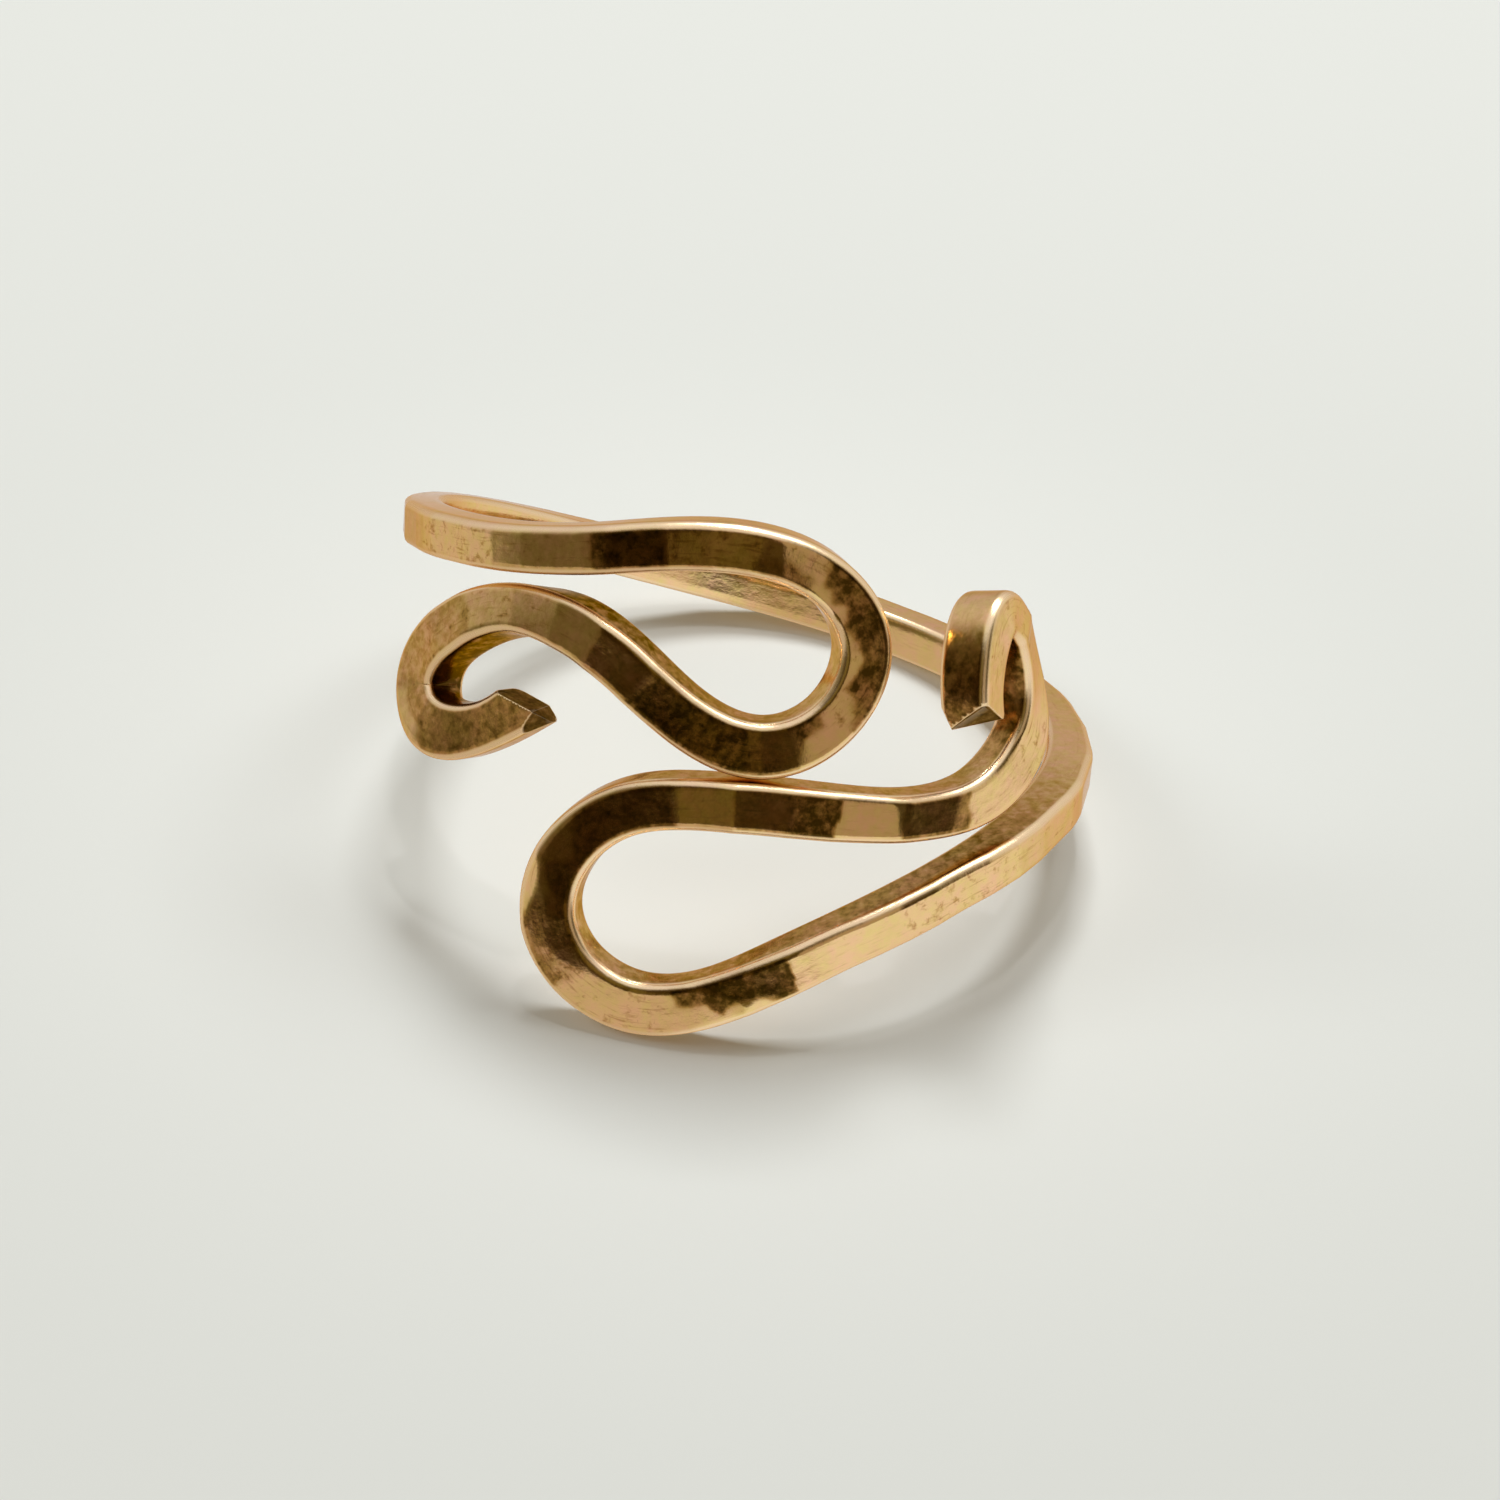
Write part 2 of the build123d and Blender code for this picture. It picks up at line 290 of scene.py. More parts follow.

# How dark the two sides of the wire are painted, at places along it, from 0 up: left and right of the way
# that it runs. Partly dull film, partly painted shade and painted dark reflection, most of all on the curls
SideFilmAndShade = namedtuple("SideFilmAndShade", "place left right")
side_films_and_shade = [
    SideFilmAndShade(0.0, 0.6, 0.75),
    SideFilmAndShade(1.2, 0.6, 0.75),
    SideFilmAndShade(1.7, 0.5, 0.15),
    SideFilmAndShade(2.5, 0.8, 0.05),
    SideFilmAndShade(4.0, 0.7, 0.1),
    SideFilmAndShade(5.0, 0.35, 0.1),
    SideFilmAndShade(7.0, 0.3, 0.2),
    SideFilmAndShade(9.0, 0.3, 0.3),
    SideFilmAndShade(12.0, 0.2, 0.35),
    SideFilmAndShade(14.0, 0.2, 0.4),
    SideFilmAndShade(15.5, 0.1, 0.5),
    SideFilmAndShade(16.5, 0.1, 0.6),
    SideFilmAndShade(17.5, 0.1, 0.1),
    SideFilmAndShade(21.0, 0.0, 0.0),
    SideFilmAndShade(24.0, 0.1, 0.05),
    SideFilmAndShade(27.0, 0.25, 0.1),
    SideFilmAndShade(29.0, 0.5, 0.1),
    SideFilmAndShade(30.5, 0.9, 0.2),
    SideFilmAndShade(31.5, 0.6, 0.8),
    SideFilmAndShade(32.5, 0.2, 1.1),
    SideFilmAndShade(34.0, 0.2, 1.0),
    SideFilmAndShade(36.0, 0.3, 0.6),
]


def natural_spline(knots, values, places):
    """Smooth curve through the values at the knots, with straight ends, read at the places."""
    count = len(knots)
    gap = np.diff(knots)
    system = np.eye(count)
    right_side = np.zeros(count)
    for i in range(1, count - 1):
        system[i, i - 1:i + 2] = gap[i - 1], 2 * (gap[i - 1] + gap[i]), gap[i]
        slope_after = (values[i + 1] - values[i]) / gap[i]
        slope_before = (values[i] - values[i - 1]) / gap[i - 1]
        right_side[i] = 6 * (slope_after - slope_before)
    bend = np.linalg.solve(system, right_side)
    i = np.clip(np.searchsorted(knots, places) - 1, 0, count - 2)
    before = places - knots[i]
    after = knots[i + 1] - places
    curve = (bend[i] * after**3 + bend[i + 1] * before**3) / (6 * gap[i])
    curve += (values[i] / gap[i] - bend[i] * gap[i] / 6) * after
    curve += (values[i + 1] / gap[i] - bend[i + 1] * gap[i] / 6) * before
    return curve


def unit(vectors):
    """The vectors, each made one long."""
    return vectors / np.linalg.norm(vectors, axis=1)[:, None]


def wire_stations():
    """The stations in order as rows: around, height, lift, turn, lean, width and thickness."""
    lower = right_curl + middle_bar + lower_loop + lower_bar + right_shank
    upper = left_shank + top_bar + upper_loop + diagonal + left_curl
    rows = []
    for stations, start, reach in (
        (lower, middle_bar_height, -lower_reach),
        (upper, loop_foot_height, upper_reach),
    ):
        for s in stations:
            height = start + s.along * reach
            width = s.wide * wire_width
            thickness = s.thick * wire_thickness
            rows.append((s.around, height, s.lift * outer_radius, s.turn, s.lean, width, thickness))
    return np.array(rows, float)


# The path of the wire, ring by ring: its middle, the three directions there, half its section, the
# station number, how far along it is in millimetres, and how much its outer face bends away from
# straight, per millimetre
Path = namedtuple("Path", "middle forward outward sideways half_thick half_wide station_at run bend")


def draw_wire():
    """The path of the wire through its stations, laid round the finger."""
    rows = wire_stations()
    flat_path = np.stack([np.radians(rows[:, 0]) * outer_radius, rows[:, 1]], axis=1)
    lengths = np.linalg.norm(np.diff(flat_path, axis=0), axis=1)
    knots = np.concatenate([[0], np.cumsum(lengths)])
    count = int(knots[-1] * rings_per_mm)
    places = np.linspace(0, knots[-1], count)
    around, height, lift, turn, lean, width, thickness = (
        natural_spline(knots, column, places) for column in rows.T
    )
    angle = np.radians(around)
    radius = outer_radius + lift - thickness / 2
    middle = np.stack([radius * np.sin(angle), -radius * np.cos(angle), height], axis=1)
    forward = unit(np.gradient(middle, axis=0))
    facing = np.radians(around + turn)
    tip_up = np.radians(lean)
    outward = np.stack(
        [np.sin(facing) * np.cos(tip_up), -np.cos(facing) * np.cos(tip_up), np.sin(tip_up)], axis=1
    )
    outward = unit(outward - np.sum(outward * forward, axis=1)[:, None] * forward)
    sideways = np.cross(forward, outward)
    station_at = np.interp(places, knots, np.arange(len(rows)))
    steps = np.linalg.norm(np.diff(middle, axis=0), axis=1)
    run = np.concatenate([[0], np.cumsum(steps)])
    curve = np.gradient(forward, axis=0) / np.gradient(run)[:, None]
    bend = np.clip(-np.sum(curve * outward, axis=1), 0, None)
    return Path(middle, forward, outward, sideways, thickness / 2, width / 2, station_at, run, bend)


# A rib is one line of points that runs the length of the wire.
# up and across: the corner of the section that it belongs to, or its place between two corners
# facing_up and facing_across: which way the skin faces there
Rib = namedtuple("Rib", "up across facing_up facing_across")
section_corners = ((1, -1), (1, 1), (-1, 1), (-1, -1))
section_facings = ((1, 0), (0, 1), (-1, 0), (0, -1))
section_steps = (16, 5, 5, 5)
round_steps = 4

# A rib counts to a face of the wire where its skin faces that way by more than these shares
facing_in_or_out = 0.7
facing_sideways = 0.5
plain_spots = 0.1   # how thick the spots are on the three faces that the hammer left alone


def section_ribs():
    """The ribs in order round the section, from the outer face on."""
    ribs = []
    for k, steps in enumerate(section_steps):
        start = section_corners[k]
        end = section_corners[(k + 1) % 4]
        facing = section_facings[k]
        next_facing = section_facings[(k + 1) % 4]
        for j in range(1, steps):
            share = j / steps
            up = start[0] + (end[0] - start[0]) * share
            across = start[1] + (end[1] - start[1]) * share
            ribs.append(Rib(up, across, *facing))
        for j in range(round_steps + 1):
            turn = math.radians(90 * j / round_steps)
            facing_up = math.cos(turn) * facing[0] + math.sin(turn) * next_facing[0]
            facing_across = math.cos(turn) * facing[1] + math.sin(turn) * next_facing[1]
            ribs.append(Rib(*end, facing_up, facing_across))
    return ribs


def back_flats():
    """The flats of the hidden back, one after another, each turned and filmed by chance."""
    chance = np.random.default_rng(back_seed)
    stations = wire_stations()
    lengths = np.hypot(np.diff(np.radians(stations[:, 0])) * outer_radius, np.diff(stations[:, 1]))
    run = np.concatenate([[0], np.cumsum(lengths)])
    numbers = np.arange(len(run))
    start, end = np.interp([back_from_station, back_to_station], numbers, run)
    flats = []
    for at in np.arange(start, end, back_flat_length):
        swing, tip = chance.normal(0, back_flat_turn, 2)
        place = np.interp(at + chance.uniform(-back_flat_stray, back_flat_stray), run, numbers)
        film_shade_and_reflection = chance.uniform(0, back_film)
        spots = chance.uniform(0, back_spots)
        across = chance.uniform(-back_flat_aside, back_flat_aside)
        flats.append(Flat(place, across, swing, tip, film_shade_and_reflection, spots))
    return flats


def seen_from(flat, path, across):
    """How far each point of the outer face lies ahead of a flat's middle and beside it, in millimetres."""
    at = np.interp(flat.place, path.station_at, path.run)
    off = flat.across * np.interp(at, path.run, path.half_wide)
    return path.run[:, None] - at, across - off


def struck_lift(flats, path, across):
    """How far the hammer left each point of the outer face standing out or in, in millimetres.

    Every flat is a slightly hollow plane, and the lowest of them shapes the face.
    """
    lift_sum = np.zeros_like(across)
    for flat in flats:
        ahead, beside = seen_from(flat, path, across)
        bend = np.interp(flat.place, path.station_at, path.bend)
        level = np.minimum(np.abs(ahead), flat_half_length)
        plane = bend / 2 * level**2 + flat_dish * (ahead**2 + beside**2) - flat.deep
        plane += flat.runs_out * ahead**2
        plane -= math.tan(math.radians(flat.swing)) * ahead + math.tan(math.radians(flat.tip)) * beside
        plane += flat_release * np.maximum(np.abs(ahead) - flat_reach, 0) ** 2
        lift_sum += np.exp(-plane / flat_blend)
    lift = -flat_blend * np.log(lift_sum)
    return lift - crown_drop * np.abs(across / path.half_wide[:, None]) ** crown_power


def film_reflection_and_spots(flats, path, across):
    """How dark each point of the outer face is painted, from brown film and painted dark reflection, and
    how thick its spots are, from 0 to 1.
    """
    weight_sum = np.zeros_like(across)
    film_and_reflection_sum = np.zeros_like(across)
    spot_sum = np.zeros_like(across)
    stray_ahead, stray_beside = ragged(path.run, across)
    for flat in flats:
        ahead, beside = seen_from(flat, path, across)
        strayed = (ahead + stray_ahead) ** 2 + (beside + stray_beside) ** 2
        weight = np.exp(-np.minimum(strayed / film_and_reflection_blend, film_and_reflection_cutoff))
        weight_sum += weight
        film_and_reflection_sum += weight * flat.tarnish
        spot_sum += weight * flat.speckle
    return film_and_reflection_sum / weight_sum, spot_sum / weight_sum


def ragged(run, across):
    """How far the border of the film and painted dark reflection strays along the wire and across it."""
    noise.seed_set(film_and_reflection_seed)
    stray = np.zeros((2, *across.shape))
    for i, at in enumerate(run * film_and_reflection_ragged_per_mm):
        for j, off in enumerate(across[i] * film_and_reflection_ragged_per_mm):
            stray[:, i, j] = noise.noise_vector(Vector((at, off, 0)))[:2]
    return stray * film_and_reflection_ragged


def film_and_shade_on_sides(path, facing_across):
    """How dark the left and the right side of the wire are painted, ring by ring: partly film that they
    keep, partly painted shade.
    """
    places = [side.place for side in side_films_and_shade]
    left = np.interp(path.station_at, places, [side.left for side in side_films_and_shade])[:, None]
    right = np.interp(path.station_at, places, [side.right for side in side_films_and_shade])[:, None]
    right = np.where(facing_across < -facing_sideways, right, 0.0)
    return np.where(facing_across > facing_sideways, left, right)


def wire_skin():
    """The path, the points of the wire's skin, ring by ring, and what its finish reads there."""
    path = draw_wire()
    up, across, facing_up, facing_across = np.array(section_ribs()).T
    high = up * (path.half_thick[:, None] - edge_round) + facing_up * edge_round
    wide = across * (path.half_wide[:, None] - edge_round) + facing_across * edge_round
    struck = placed_flats + back_flats()
    outer_share = np.clip(high / path.half_thick[:, None], 0, 1)
    high = high + struck_lift(struck, path, wide) * outer_share
    # The film read here carries painted dark reflection on the outer face and painted shade on the sides.
    film_shade_and_reflection, spots = film_reflection_and_spots(struck + film_and_reflection_patches, path, wide)
    on_outer = (facing_up > facing_in_or_out)[None, :]
    on_inner = (facing_up < -facing_in_or_out)[None, :]
    plain_film_and_shade = np.where(on_inner, 0.0, film_and_shade_on_sides(path, facing_across))
    finish = {
        "film_shade_and_reflection": np.where(on_outer, film_shade_and_reflection, plain_film_and_shade),
        "spots": np.where(on_outer, spots, plain_spots),
        "edge": np.broadcast_to(np.abs(facing_up * facing_across) * 2, high.shape),
        "along": np.broadcast_to(path.run[:, None], high.shape),
        "around": np.broadcast_to(wide * np.abs(facing_up) + high * np.abs(facing_across), high.shape),
    }
    points = path.middle[:, None, :] + path.outward[:, None, :] * high[:, :, None]
    points = points + path.sideways[:, None, :] * wide[:, :, None]
    return path, points, finish


def finger_frame():
    """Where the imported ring's finger hollow lies: the matrix from the ring's own frame to the floor's."""
    mount = next(m for m in frame["record"]["mounts"] if m["name"] == "finger")
    axis = Vector(mount["axis"]).normalized()
    back = axis.cross(Vector((1, 0, 0))).normalized()
    right = back.cross(axis)
    turn = Matrix((right, back, axis)).transposed().to_4x4()
    return Matrix.Translation(Vector(mount["pos_m"])) @ turn


def nip_wire(bm, ring, path, end, rim_side, points):
    """Cuts one flat off an end of the wire, near the ring of points there."""
    onward = path.forward[end] if end == -1 else -path.forward[end]
    corners = []
    for point in points:
        corner = path.middle[end] - onward * point.back * wire_width
        corner = corner + path.outward[end] * point.up * 2 * path.half_thick[end]
        corners.append(corner + rim_side * path.sideways[end] * point.across * 2 * path.half_wide[end])
    away = np.cross(corners[1] - corners[0], corners[2] - corners[0])
    if away @ onward < 0:
        away = -away
    near = [vert for vert in bm.verts if vert[bm.verts.layers.int["ring"]] in ring]
    edges = {edge for vert in near for edge in vert.link_edges}
    faces = {face for vert in near for face in vert.link_faces}
    cut = bmesh.ops.bisect_plane(
        bm, geom=near + list(edges) + list(faces), dist=same_place,
        plane_co=Vector(corners[0]), plane_no=Vector(away), clear_outer=True,
    )
    edges = [item for item in cut["geom_cut"] if isinstance(item, bmesh.types.BMEdge)]
    rim = [edge for edge in edges if len(edge.link_faces) == 1]
    made = bmesh.ops.contextual_create(bm, geom=rim)["faces"]
    bmesh.ops.inset_individual(bm, faces=made, thickness=nip_rim)
    # The rim is painted pale: partly rubbed metal, partly a painted highlight along the softened rim.
    for edge in rim:
        for vert in edge.verts:
            if vert.is_valid:
                vert[bm.verts.layers.float["edge"]] = 1.0
    for face in made:
        for vert in face.verts:
            vert[bm.verts.layers.float["nipped"]] = 1.0


def build_wire():
    """The wire as one closed skin that carries its finish, nipped at both ends."""
    path, points, finish = wire_skin()
    rings, around = points.shape[:2]
    bm = bmesh.new()
    layers = {name: bm.verts.layers.float.new(name) for name in finish}
    bm.verts.layers.float.new("nipped")
    ring_number = bm.verts.layers.int.new("ring")
    verts = [[bm.verts.new(Vector(point)) for point in ring] for ring in points]
    for i, ring in enumerate(verts):
        for j, vert in enumerate(ring):
            vert[ring_number] = i
            for name, layer in layers.items():
                vert[layer] = finish[name][i, j]
    for near, far in zip(verts, verts[1:]):
        for j in range(around):
            k = (j + 1) % around
            bm.faces.new((near[j], far[j], far[k], near[k]))
    bm.faces.new(verts[0])
    bm.faces.new(verts[-1][::-1])
    stub = int(stub_length * wire_width * rings_per_mm)
    for points in right_end_nips:
        nip_wire(bm, range(0, stub), path, 0, -1, points)
    for points in left_end_nips:
        nip_wire(bm, range(rings - stub, rings), path, -1, 1, points)
    bmesh.ops.recalc_face_normals(bm, faces=bm.faces)
    mesh = bpy.data.meshes.new("hammered_wire")
    bm.to_mesh(mesh)
    bm.free()
    mesh.transform(finger_frame() @ Matrix.Scale(MM, 4))
    for polygon in mesh.polygons:
        polygon.use_smooth = True
    wire = bpy.data.objects.new("hammered_wire", mesh)
    bpy.context.scene.collection.objects.link(wire)
    return wire


# A grain is one pattern of chance in the metal: how many to a millimetre, how many layers, how rough
Grain = namedtuple("Grain", "per_mm layers rough")
cloud_grain = Grain(1.1, 4, 0.6)
blotch_grain = Grain(2.6, 5, 0.65)
dot_grain = Grain(3.6, 5, 0.62)
mottle_grain = Grain(4.0, 3, 0.6)
stroke_grain = Grain(9.0, 3, 0.6)
stroke_squeeze = 0.12   # strokes are drawn out along the wire, where a millimetre counts for this much

# A scale turns one range of a value into another, and holds it there beyond the ends
Scale = namedtuple("Scale", "low high to_low to_high", defaults=(0, 1))
film_by_blotch = Scale(0.3, 0.7, 0.6, 1.25)
film_by_cloud = Scale(0.35, 0.75, 0, 0.06)
film_by_mottle = Scale(0.38, 0.62, -0.22, 0.22)
film_by_stroke = Scale(0.56, 0.72, 0, 0.3)
film_by_spot = Scale(0, 1, 0, 0.42)
film_on_cuts = Scale(0.35, 0.65, 0.6, 1)
strokes_by_speckle = Scale(0, 1, 0.2, 1)
dot_level_by_speckle = Scale(0, 1, 0.72, 0.48)  # dots that rise above this level are spots
dot_steepness = 4.5
worn_and_rim_highlight_by_edge = Scale(0.25, 0.8)
rubbed_and_rim_highlight_by_edge = Scale(0.3, 0.9, 0, 0.7)
rubbed_less_on_cuts = 0.4
metal_by_cut = Scale(0, 1, 1, 0.25)
rough_by_film = Scale(0, 1, 0.09, 0.20)
rough_by_stroke = Scale(0.3, 0.7, 0, 0.05)
rough_by_edge = Scale(0.3, 0.9, 0, 0.16)
rough_by_cut = Scale(0, 1, 0, 0.3)
relief_by_cut = Scale(0, 1, 1, 6)
relief_depth = 0.004    # in millimetres
blotch_relief = 2.0
stroke_relief = 0.25
spot_relief = 0.5

# A tone is one colour on the way from 0 to 1, as shares of red, green and blue
Tone = namedtuple("Tone", "place red green blue")
# From clean bronze to the thickest film, the same tones giving the painted shade and painted dark
# reflections
film_shade_and_reflection_tones = [
    Tone(0.0, 0.94, 0.68, 0.40),
    Tone(0.4, 0.52, 0.31, 0.12),
    Tone(0.75, 0.22, 0.12, 0.032),
    Tone(1.0, 0.085, 0.046, 0.008),
]
# The same metal is a little redder here and a little greener there
hue_tones = [
    Tone(0.38, 1.0, 0.87, 0.90),
    Tone(0.60, 0.96, 1.0, 0.74),
]
# Edges are painted this paler bronze where rubbed; on the rims of the nips it is partly a painted
# highlight.
rubbed_and_rim_highlight_colour = (0.96, 0.75, 0.52, 1)
cut_gleam = (0.80, 0.58, 0.36, 1)


def add(tree, kind, **settings):
    """A node of one kind, with its settings."""
    node = tree.nodes.new(kind)
    for name, value in settings.items():
        setattr(node, name, value)
    return node


def plug(tree, socket, value):
    """Gives one input its value: another node's output is linked, and a plain value is set."""
    if isinstance(value, bpy.types.NodeSocket):
        tree.links.new(value, socket)
    else:
        socket.default_value = value


def feed(tree, node, **inputs):
    """Gives a node's inputs their values, each by its name."""
    for name, value in inputs.items():
        plug(tree, node.inputs[name.replace("_", " ")], value)
    return node


def calculate(tree, kind, first, second):
    """One step of arithmetic."""
    node = add(tree, "ShaderNodeMath", operation=kind)
    plug(tree, node.inputs[0], first)
    plug(tree, node.inputs[1], second)
    return node.outputs[0]


def plus(tree, *terms):
    """The sum of two values or more."""
    total = terms[0]
    for term in terms[1:]:
        total = calculate(tree, "ADD", total, term)
    return total


def minus(tree, first, second):
    """The first value less the second."""
    return calculate(tree, "SUBTRACT", first, second)


def times(tree, first, second):
    """The product of two values."""
    return calculate(tree, "MULTIPLY", first, second)


def remap(tree, value, scale):
    """A value, turned by a scale."""
    node = add(tree, "ShaderNodeMapRange")
    feed(tree, node, Value=value, From_Min=scale.low, From_Max=scale.high)
    return feed(tree, node, To_Min=scale.to_low, To_Max=scale.to_high).outputs["Result"]


def read(tree, name):
    """A value that the skin carries."""
    return add(tree, "ShaderNodeAttribute", attribute_name=name).outputs["Fac"]


def pattern(tree, place, grain):
    """A grain's pattern, from 0 to 1."""
    node = add(tree, "ShaderNodeTexNoise")
    feed(tree, node, Vector=place, Scale=grain.per_mm, Detail=grain.layers, Roughness=grain.rough)
    return node.outputs["Fac"]


def ramp(tree, value, tones):
    """The colour that a value from 0 to 1 stands for in a row of tones."""
    node = add(tree, "ShaderNodeValToRGB")
    tree.links.new(value, node.inputs["Fac"])
    stops = node.color_ramp.elements
    stops.remove(stops[-1])
    for number, tone in enumerate(tones):
        stop = stops.new(tone.place) if number else stops[0]
        stop.position = tone.place
        stop.color = (tone.red, tone.green, tone.blue, 1)
    return node.outputs["Color"]


def blend(tree, share, under, over, **settings):
    """Two colours, blended by a share."""
    node = add(tree, "ShaderNodeMix", data_type="RGBA", **settings)
    return feed(tree, node, Factor=share, A=under, B=over).outputs["Result"]


def bronze():
    """Polished bronze with what is left of its brown film, between the flats and in small spots, and with
    painted shade and painted dark reflections in the same tones.
    """
    material = bpy.data.materials.new("bronze")
    material.use_nodes = True
    tree = material.node_tree
    edge = read(tree, "edge")
    cut = read(tree, "nipped")
    speckle = read(tree, "spots")

    in_mm = add(tree, "ShaderNodeVectorMath", operation="SCALE")
    tree.links.new(add(tree, "ShaderNodeTexCoord").outputs["Object"], in_mm.inputs[0])
    place = feed(tree, in_mm, Scale=1 / MM).outputs[0]
    drawn = add(tree, "ShaderNodeCombineXYZ")
    feed(tree, drawn, X=times(tree, read(tree, "along"), stroke_squeeze), Y=read(tree, "around"))
    cloud = pattern(tree, place, cloud_grain)
    blotch = pattern(tree, place, blotch_grain)
    dots = pattern(tree, place, dot_grain)
    mottle = pattern(tree, place, mottle_grain)
    strokes = pattern(tree, drawn.outputs[0], stroke_grain)

    above_level = minus(tree, dots, remap(tree, speckle, dot_level_by_speckle))
    spots = remap(tree, times(tree, above_level, dot_steepness), film_by_spot)
    streaks = times(tree, remap(tree, strokes, film_by_stroke), remap(tree, speckle, strokes_by_speckle))
    # The skin's film carries painted shade and painted dark reflection as well as brown film.
    film_shade_and_reflection = times(tree, read(tree, "film_shade_and_reflection"), remap(tree, blotch, film_by_blotch))
    film_shade_and_reflection = plus(tree, film_shade_and_reflection, spots, remap(tree, cloud, film_by_cloud), streaks)
    film_shade_and_reflection = plus(tree, film_shade_and_reflection, times(tree, remap(tree, mottle, film_by_mottle), film_shade_and_reflection))
    film_shade_and_reflection = times(tree, film_shade_and_reflection, minus(tree, 1.0, remap(tree, edge, worn_and_rim_highlight_by_edge)))
    film_shade_and_reflection = calculate(tree, "MAXIMUM", film_shade_and_reflection, times(tree, cut, remap(tree, dots, film_on_cuts)))

    hue = ramp(tree, times(tree, plus(tree, cloud, blotch), 0.5), hue_tones)
    colour = blend(tree, 1.0, ramp(tree, film_shade_and_reflection, film_shade_and_reflection_tones), hue, blend_type="MULTIPLY")
    whole_edge = minus(tree, edge, times(tree, cut, rubbed_less_on_cuts))
    colour = blend(tree, remap(tree, whole_edge, rubbed_and_rim_highlight_by_edge), colour, rubbed_and_rim_highlight_colour)

    gloss = plus(
        tree, remap(tree, film_shade_and_reflection, rough_by_film), remap(tree, strokes, rough_by_stroke),
        remap(tree, edge, rough_by_edge), remap(tree, cut, rough_by_cut),
    )
    relief = plus(tree, times(tree, blotch, blotch_relief), times(tree, strokes, stroke_relief))
    relief = minus(tree, relief, times(tree, spots, spot_relief))
    relief = times(tree, relief, remap(tree, cut, relief_by_cut))
    bump = add(tree, "ShaderNodeBump")
    feed(tree, bump, Height=relief, Distance=relief_depth * MM, Strength=1.0)

    shader = tree.nodes["Principled BSDF"]
    feed(tree, shader, Base_Color=colour, Metallic=remap(tree, cut, metal_by_cut), Roughness=gloss)
    feed(tree, shader, IOR=1.0, Specular_Tint=cut_gleam, Normal=bump.outputs["Normal"])
    return material


# What the polished faces mirror, all round. Azimuth is in degrees from the front, positive to the right.
Panel = namedtuple("Panel", "azimuth red green blue")
# Above the table: the dark of the room in front, and pale walls at the sides and behind
surroundings = [
    Panel(-180, 0.62, 0.60, 0.66),
    Panel(-125, 0.72, 0.70, 0.68),
    Panel(-100, 0.62, 0.58, 0.50),
    Panel(-84, 0.34, 0.31, 0.22),
    Panel(-72, 0.19, 0.16, 0.08),
    Panel(-49, 0.17, 0.13, 0.06),
    Panel(-43, 0.065, 0.042, 0.010),
    Panel(-24, 0.05, 0.030, 0.006),
    Panel(-18, 0.15, 0.115, 0.030),
    Panel(-2, 0.18, 0.14, 0.04),
    Panel(4, 0.08, 0.054, 0.012),
    Panel(15, 0.07, 0.045, 0.010),
    Panel(19, 0.42, 0.34, 0.23),
    Panel(43, 0.44, 0.36, 0.25),
    Panel(48, 0.07, 0.05, 0.017),
    Panel(67, 0.08, 0.055, 0.017),
    Panel(76, 0.58, 0.53, 0.42),
    Panel(90, 0.80, 0.77, 0.70),
    Panel(135, 0.75, 0.73, 0.70),
    Panel(180, 0.62, 0.60, 0.66),
]
# The table top
table_top = [
    Panel(-180, 0.78, 0.77, 0.76),
    Panel(-120, 0.74, 0.70, 0.62),
    Panel(-85, 0.62, 0.56, 0.45),
    Panel(-40, 0.60, 0.53, 0.43),
    Panel(-12, 0.62, 0.55, 0.43),
    Panel(8, 0.88, 0.88, 0.82),
    Panel(90, 0.86, 0.84, 0.78),
    Panel(180, 0.78, 0.77, 0.76),
]
table_edge = (-11.5, -8.5)      # degrees of elevation over which the table top gives way to the room
ceiling_edge = (38.0, 55.0)     # and the room to the pale ceiling
ceiling_colour = (0.82, 0.80, 0.78, 1)
even_light = (0.24, 0.22, 0.17, 1)

# A box is a soft square lamp over the floor, in metres and watts, pointed at the ring. The metal shows
# it only where it is mirrored.
Box = namedtuple("Box", "name place power size mirrored")
soft_boxes = [
    Box("back_box", (0, 0.131, 0.270), 0.44, 0.07, True),
    Box("right_box", (0.116, 0.062, 0.270), 0.21, 0.13, True),
    Box("left_box", (-0.233, -0.041, 0.185), 0.155, 0.12, False),
]
box_colour = (0.956, 1.0, 0.997)

# A narrow lamp from high up makes the floor inside the ring a little paler
pool_place = (0.02, 0.05, 0.40)
pool_aim = (0, 0.001, 0)
pool_power = 2.4
pool_size = 0.02
pool_spread = 3.4       # in degrees

floor_half = 0.6
floor_colour = (0.8, 0.8, 0.79, 1)
floor_roughness = 0.8

# The photograph's camera, in the ring's own frame
camera_distance = 95    # from its aim, in millimetres
camera_rise = 18        # degrees above the plane across the finger
aim_height = -2.27      # of the point that it is aimed at, along the finger, in millimetres
picture_pixels = 1500
pixel_at_aim = 0.0296   # millimetres across one pixel there
sensor_width = 36
nearest_seen = 0.001    # in metres


def panorama(tree, azimuth, panels):
    """The colour that a row of panels shows at an azimuth, which runs from 0 to 1 all round."""
    tones = [Tone((panel.azimuth + 180) / 360, panel.red, panel.green, panel.blue) for panel in panels]
    return ramp(tree, azimuth, tones)


def height_at(elevation):
    """The upward part of a ray at an elevation in degrees."""
    return math.sin(math.radians(elevation))


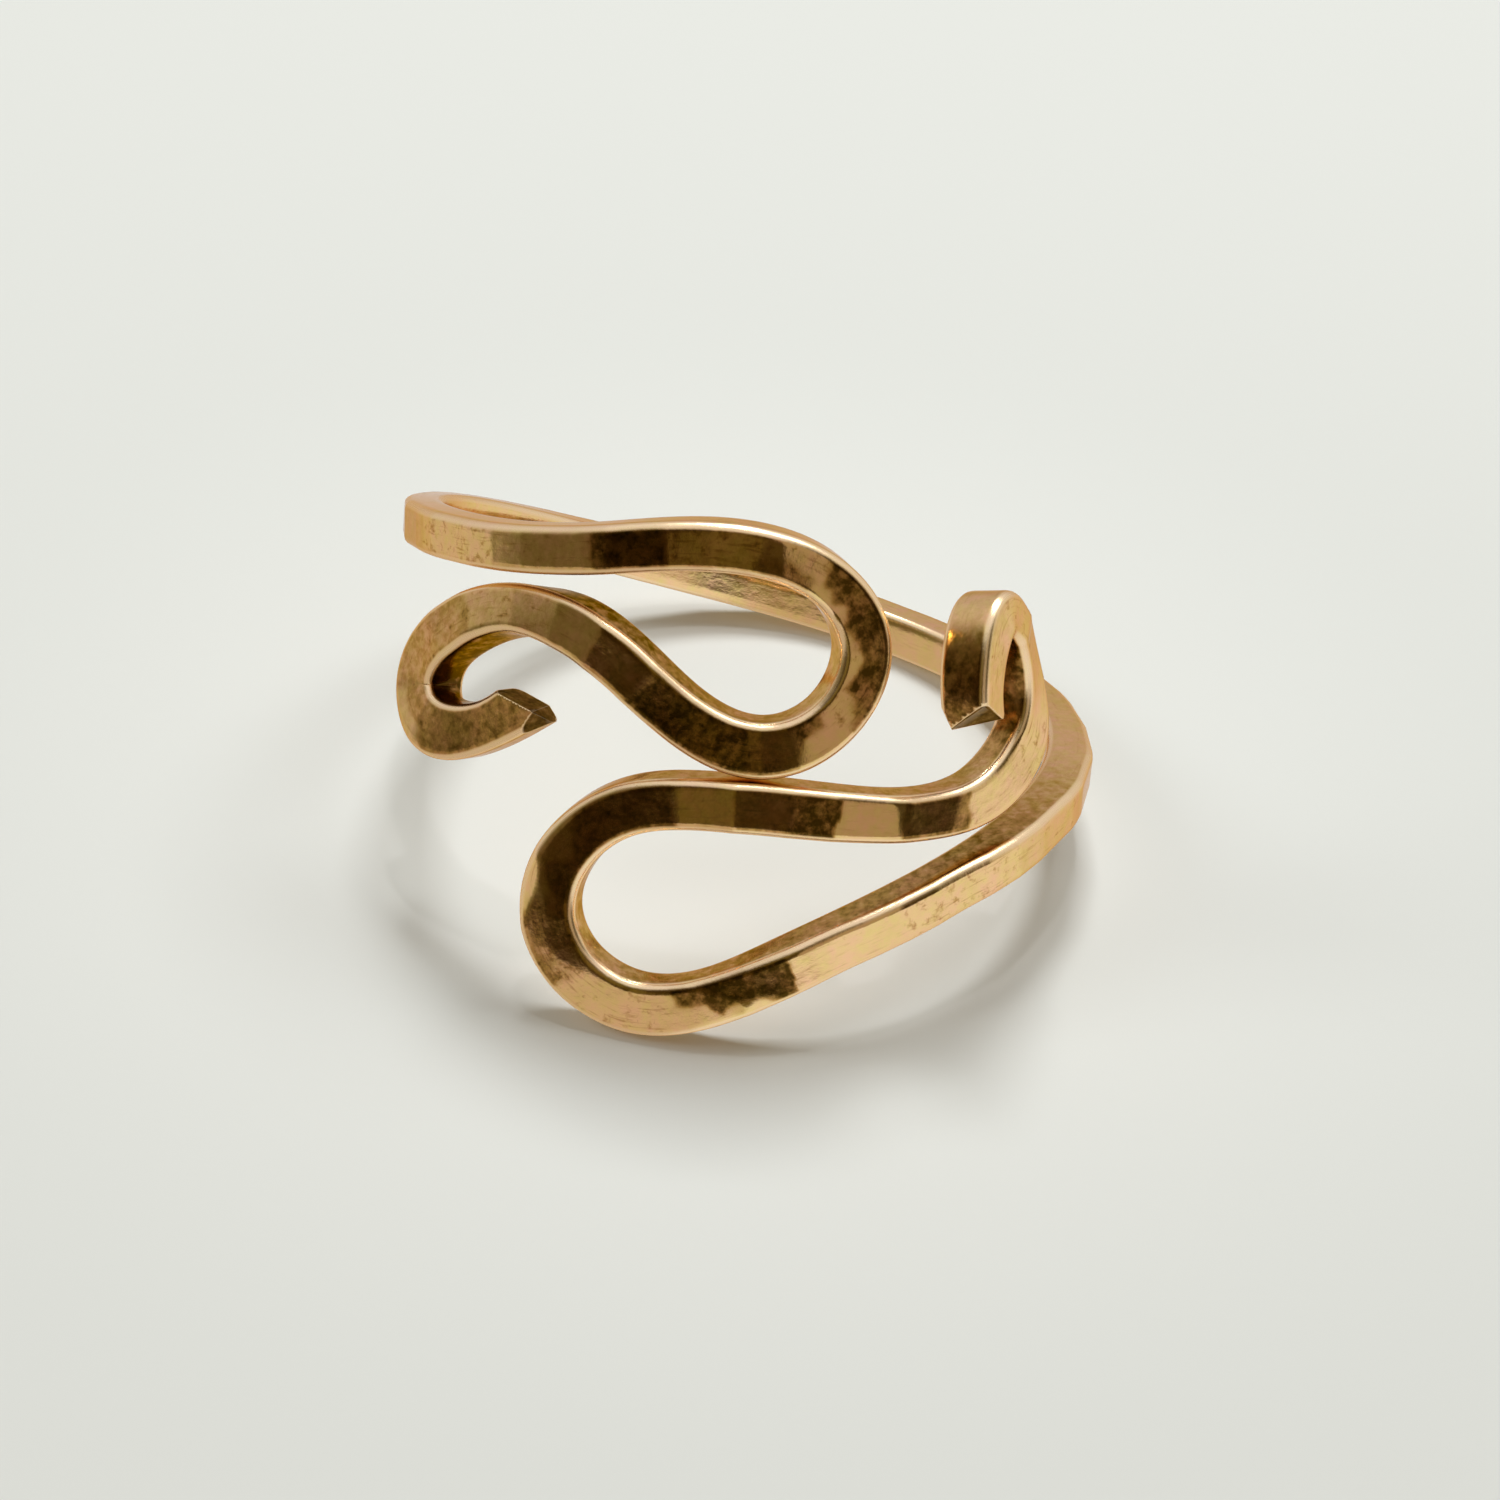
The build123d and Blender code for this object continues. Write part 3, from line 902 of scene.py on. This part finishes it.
def studio():
    """The light all round: soft and even on the floor, and the room that the metal mirrors."""
    world = bpy.data.worlds.new("studio")
    bpy.context.scene.world = world
    world.use_nodes = True
    tree = world.node_tree
    tree.nodes.clear()
    ray = add(tree, "ShaderNodeSeparateXYZ")
    tree.links.new(add(tree, "ShaderNodeTexCoord").outputs["Generated"], ray.inputs[0])
    angle = calculate(tree, "ARCTAN2", ray.outputs["X"], times(tree, ray.outputs["Y"], -1.0))
    azimuth = remap(tree, angle, Scale(-math.pi, math.pi))
    above_table = remap(tree, ray.outputs["Z"], Scale(*map(height_at, table_edge)))
    near_ceiling = remap(tree, ray.outputs["Z"], Scale(*map(height_at, ceiling_edge)))
    table = panorama(tree, azimuth, table_top)
    room = blend(tree, above_table, table, panorama(tree, azimuth, surroundings))
    room = blend(tree, near_ceiling, room, ceiling_colour)
    mirrored = feed(tree, add(tree, "ShaderNodeBackground"), Color=room)
    even = feed(tree, add(tree, "ShaderNodeBackground"), Color=even_light)
    mix = add(tree, "ShaderNodeMixShader")
    tree.links.new(add(tree, "ShaderNodeLightPath").outputs["Is Glossy Ray"], mix.inputs["Fac"])
    tree.links.new(even.outputs[0], mix.inputs[1])
    tree.links.new(mirrored.outputs[0], mix.inputs[2])
    feed(tree, add(tree, "ShaderNodeOutputWorld"), Surface=mix.outputs[0])


def lamp(name, kind, place, aim, power, colour, mirrored=True, **settings):
    """A light in metres and watts, pointed at its aim. The metal shows it only if it is mirrored."""
    data = bpy.data.lights.new(name, kind)
    data.energy = power
    data.color = colour
    for setting, value in settings.items():
        setattr(data, setting, value)
    light = bpy.data.objects.new(name, data)
    light.location = place
    light.visible_glossy = mirrored
    light.rotation_euler = (Vector(aim) - Vector(place)).to_track_quat("-Z", "Y").to_euler()
    bpy.context.scene.collection.objects.link(light)


def pale_floor():
    """A plain pale floor, which the metal doesn't mirror, since the table top in the room stands for it."""
    mesh = bpy.data.meshes.new("floor")
    corners = [(x * floor_half, y * floor_half, 0) for x, y in ((-1, -1), (1, -1), (1, 1), (-1, 1))]
    mesh.from_pydata(corners, [], [(0, 1, 2, 3)])
    floor = bpy.data.objects.new("floor", mesh)
    bpy.context.scene.collection.objects.link(floor)
    floor.visible_glossy = False
    material = bpy.data.materials.new("floor")
    material.use_nodes = True
    shader = material.node_tree.nodes["Principled BSDF"]
    shader.inputs["Base Color"].default_value = floor_colour
    shader.inputs["Roughness"].default_value = floor_roughness
    shader.inputs["Specular IOR Level"].default_value = 0.0
    mesh.materials.append(material)


def lamps():
    """The soft boxes round the ring, and the narrow lamp that brightens the floor inside it."""
    for box in soft_boxes:
        lamp(
            box.name, "AREA", box.place, (0, 0, 0), box.power, box_colour, box.mirrored,
            shape="SQUARE", size=box.size,
        )
    lamp(
        "pool", "SPOT", pool_place, pool_aim, pool_power, (1, 1, 1),
        shadow_soft_size=pool_size, spot_size=math.radians(pool_spread), spot_blend=1.0,
    )


def camera():
    """The camera of the photograph, held level with the ring's own frame."""
    turn = finger_frame()
    aim = turn @ Vector((0, 0, aim_height * MM))
    rise = math.radians(camera_rise)
    back = turn.to_3x3() @ Vector((0, -math.cos(rise), math.sin(rise)))
    right = turn.to_3x3() @ Vector((1, 0, 0))
    up = back.cross(right)
    lens = bpy.data.cameras.new("camera")
    lens.sensor_width = sensor_width
    lens.lens = sensor_width / (picture_pixels * pixel_at_aim / camera_distance)
    lens.clip_start = nearest_seen
    eye = bpy.data.objects.new("camera", lens)
    place = Matrix.Translation(aim + back * camera_distance * MM)
    eye.matrix_world = place @ Matrix((right, up, back)).transposed().to_4x4()
    bpy.context.scene.collection.objects.link(eye)
    bpy.context.scene.camera = eye


bpy.context.scene.view_settings.view_transform = "Standard"
wire = build_wire()
wire.data.materials.append(bronze())
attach(wire, "root")
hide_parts("ring_wire")
pale_floor()
studio()
lamps()
camera()
